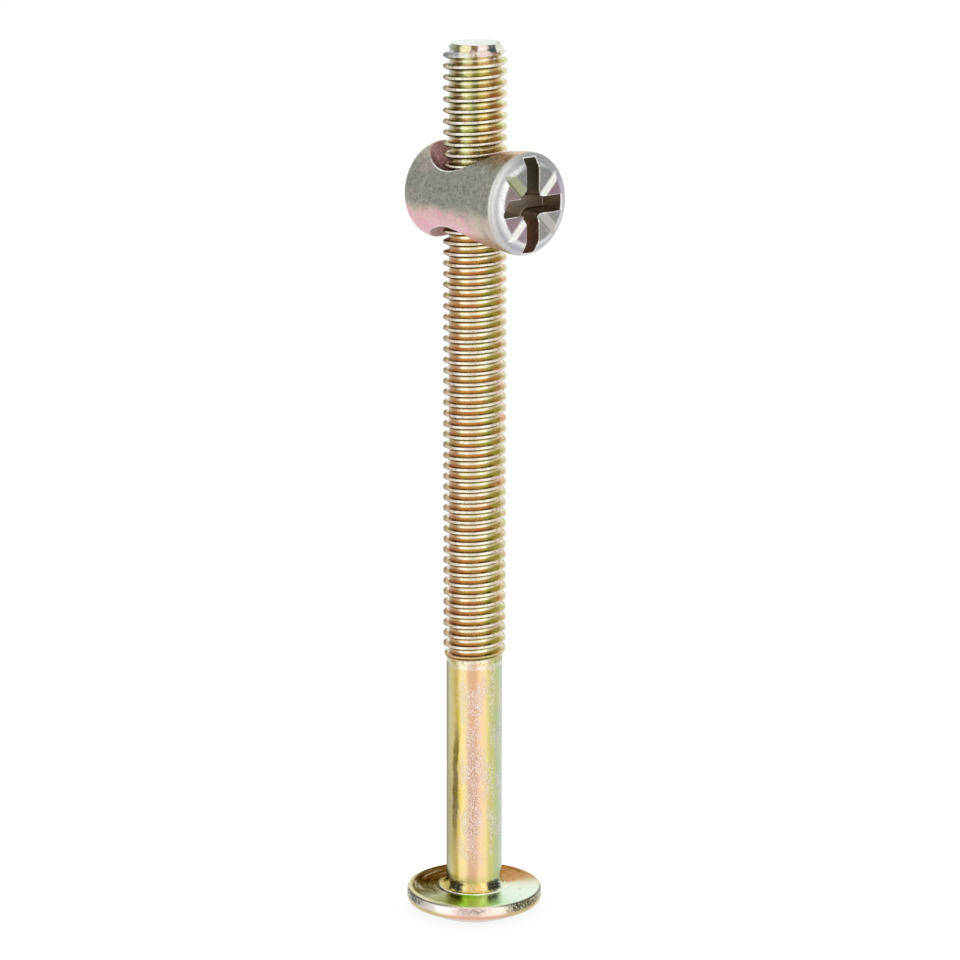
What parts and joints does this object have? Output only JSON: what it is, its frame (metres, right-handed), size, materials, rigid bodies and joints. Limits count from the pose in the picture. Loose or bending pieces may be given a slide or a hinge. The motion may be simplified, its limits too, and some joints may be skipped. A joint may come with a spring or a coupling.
{
  "type": "furniture connector bolt",
  "caption": "Flat-headed socket bolt with a barrel nut run onto its thread, which joins two furniture panels at a right angle.",
  "frame": {"origin": "centre of the outer face of the bolt's head, at the mouth of the hexagon socket, which is the face that the bolt stands on", "axes": "+Z along the bolt's axis from head to tip, +X along the barrel nut towards its slotted end"},
  "size_m": [0.0141, 0.0128, 0.0822],
  "materials": {
    "yellow_zinc": "steel with glossy yellow zinc plating, iridescent gold, olive, pink and green",
    "dull_zinc": "steel with satin grey-olive zinc plating, faintly pink, worn bright on the edges"
  },
  "bodies": {
    "bolt": {"bolt": "yellow_zinc"},
    "barrel_nut": {"barrel_nut": "dull_zinc"}
  },
  "joints": [
    {"name": "nut_travel", "type": "slide", "parent": "bolt", "child": "barrel_nut", "axis": [0, 0, 1], "range_m": [-0.04, 0.012]}
  ]
}
